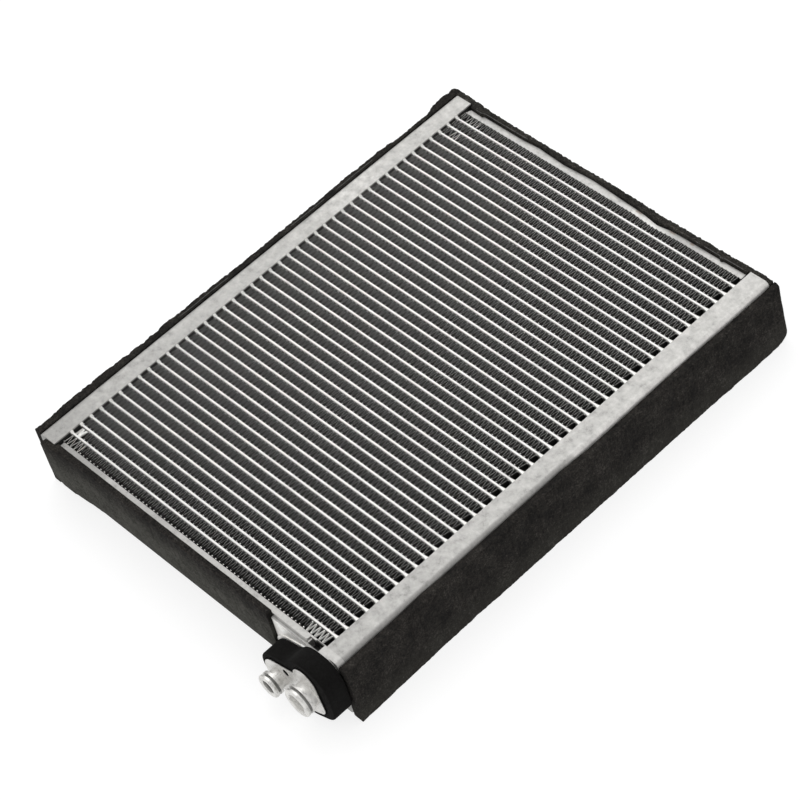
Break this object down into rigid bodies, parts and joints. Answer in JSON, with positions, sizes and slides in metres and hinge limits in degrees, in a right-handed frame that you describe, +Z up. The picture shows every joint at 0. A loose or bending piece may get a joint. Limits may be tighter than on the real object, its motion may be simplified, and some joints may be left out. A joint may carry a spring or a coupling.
{
  "type": "evaporator core",
  "caption": "Flat brazed aluminium evaporator core: corrugated fins between flat tubes, two header tanks, side plates, a port block with two spigots and foam edge strips.",
  "frame": {"origin": "bottom centre of the whole part's box, on the plane that it lies on", "axes": "+X along the tubes towards the tank with the ports, +Y along the header tanks away from the port block, +Z up through the core, in the direction of the air"},
  "size_m": [0.2392, 0.3252, 0.042],
  "materials": {
    "tank": "dull brazed",
    "tube": "satin",
    "fin": "coated sheet",
    "plate": "satin",
    "block": "machined",
    "foam": "matte foam"
  },
  "bodies": {
    "root": {"left_tube_plate": "tank", "right_tube_plate": "tank", "left_tank_cover": "tank", "right_tank_cover": "tank", "left_near_cap": "tank", "left_far_cap": "tank", "right_far_cap": "tank", "front_separator": "tank", "rear_separator": "tank", "front_tubes": "tube", "rear_tubes": "tube", "fins_near": "fin", "fins_mid_near": "fin", "fins_mid_far": "fin", "fins_far": "fin", "near_side_plate": "plate", "far_side_plate": "plate", "passage_pan": "plate", "passage_cover": "plate", "port_block": "block", "block_gasket": "foam", "left_foam": "foam", "right_foam": "foam", "near_foam": "foam", "far_foam": "foam"}
  },
  "joints": []
}
